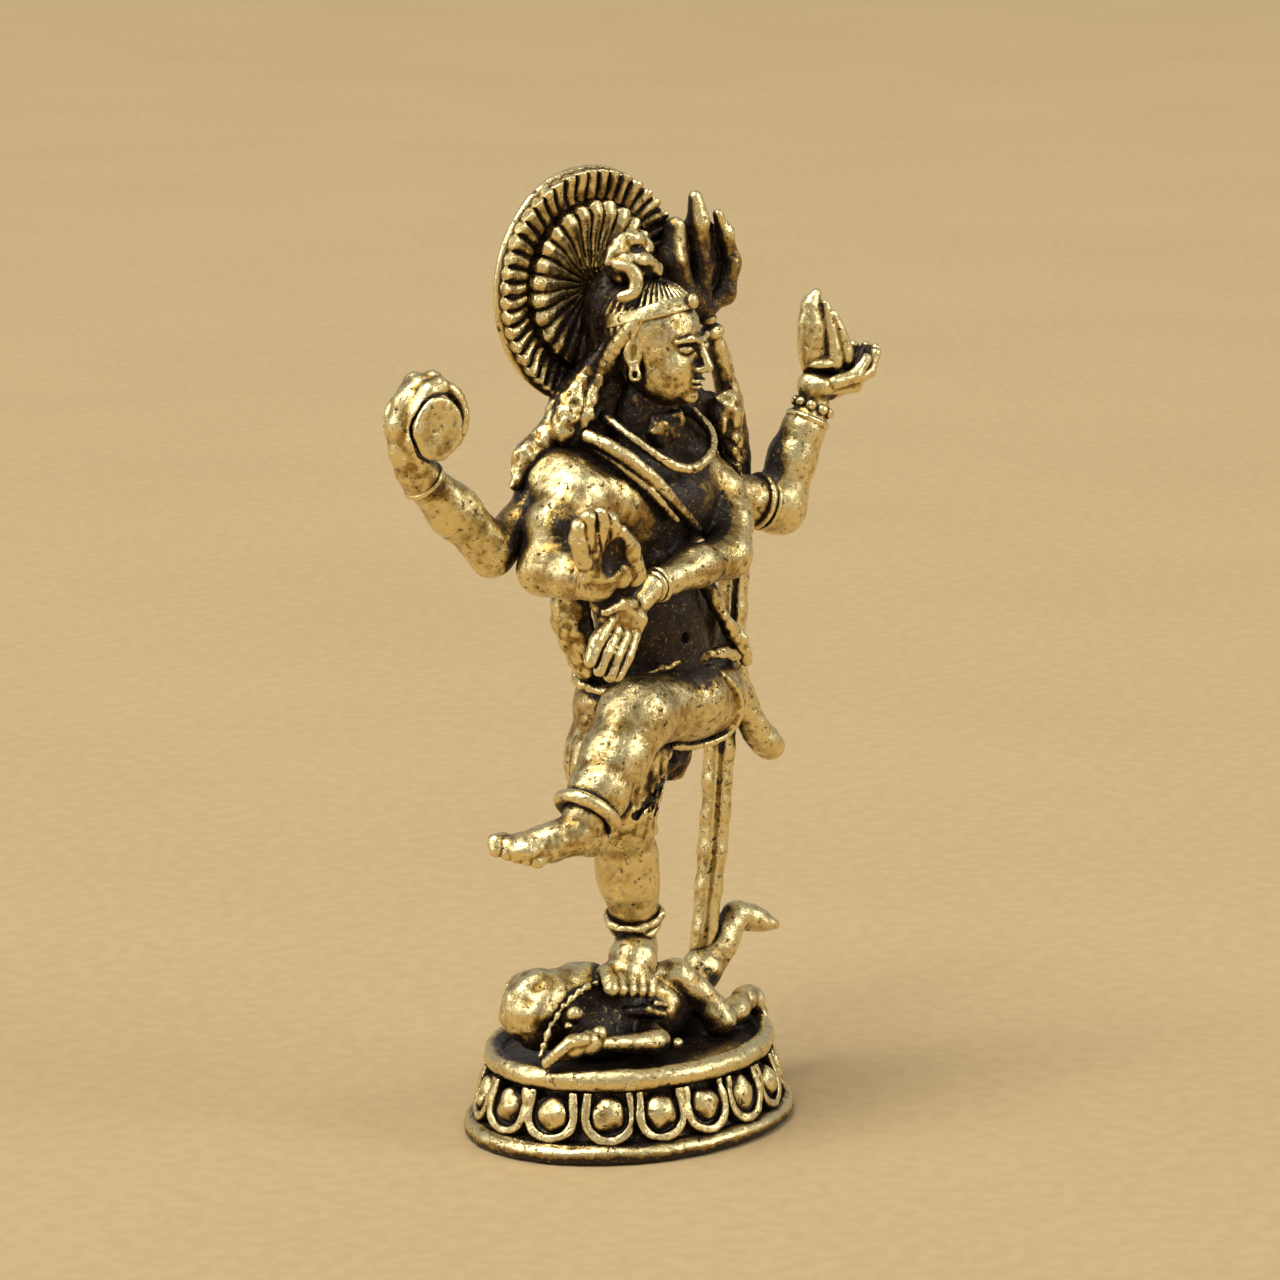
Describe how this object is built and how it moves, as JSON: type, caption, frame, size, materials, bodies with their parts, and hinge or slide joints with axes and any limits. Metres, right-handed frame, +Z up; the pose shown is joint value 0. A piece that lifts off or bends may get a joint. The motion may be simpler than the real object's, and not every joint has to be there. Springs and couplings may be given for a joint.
{
  "type": "cast brass nataraja figurine",
  "caption": "Small solid cast brass figurine of a dancing many-armed figure with a halo of hair, drum, flame and trident, standing on a dwarf on an oval lotus pedestal.",
  "frame": {"origin": "centre of the pedestal's flat underside", "axes": "+Z up, along the figure's height; -Y the way the dancer faces; +X the dancer's own left"},
  "size_m": [0.0355, 0.0162, 0.0543],
  "materials": {
    "brass": "cast brass, high points rubbed bright, hollows left dark",
    "dark_brass": "cast brass with dark patina left in the recesses"
  },
  "bodies": {
    "root": {"foot_flange": "brass", "lotus_band": "dark_brass", "lotus_petals": "brass", "petal_bosses": "brass", "seat_plate": "dark_brass", "rim_bead": "brass", "dwarf_torso": "brass", "dwarf_head": "brass", "dwarf_necklace": "brass", "dwarf_forearm": "brass", "dwarf_hand": "brass", "dwarf_girdle": "brass", "dwarf_near_thigh": "brass", "dwarf_near_shin": "brass", "dwarf_far_leg": "brass", "dwarf_far_foot": "brass", "standing_foot": "brass", "anklets": "brass", "standing_shin": "brass", "standing_thigh": "brass", "pelvis": "brass", "raised_thigh": "brass", "raised_shin": "brass", "raised_foot": "brass", "girdle_knot": "brass", "belly": "brass", "chest": "brass", "hip_sashes": "brass", "sash_tail": "brass", "necklace": "brass", "sacred_thread": "brass", "neck": "brass", "head": "brass", "ears": "brass", "diadem": "brass", "hair_back": "brass", "topknot": "brass", "crescent": "brass", "hair_locks": "brass", "halo_disc": "dark_brass", "halo_strands": "brass", "front_arm_right_upper": "brass", "front_arm_right_fore": "brass", "blessing_hand": "brass", "front_arm_left_upper": "brass", "front_arm_left_fore": "brass", "bracelets": "brass", "pointing_hand": "brass", "back_arm_right_upper": "brass", "back_arm_right_fore": "brass", "drum_hand": "brass", "drum": "brass", "back_arm_left_upper": "brass", "back_armlet_left": "brass", "back_arm_left_fore": "brass", "flame_hand": "brass", "flame": "brass", "trident_staff": "brass", "trident_collar": "brass", "trident_head": "brass"}
  },
  "joints": []
}
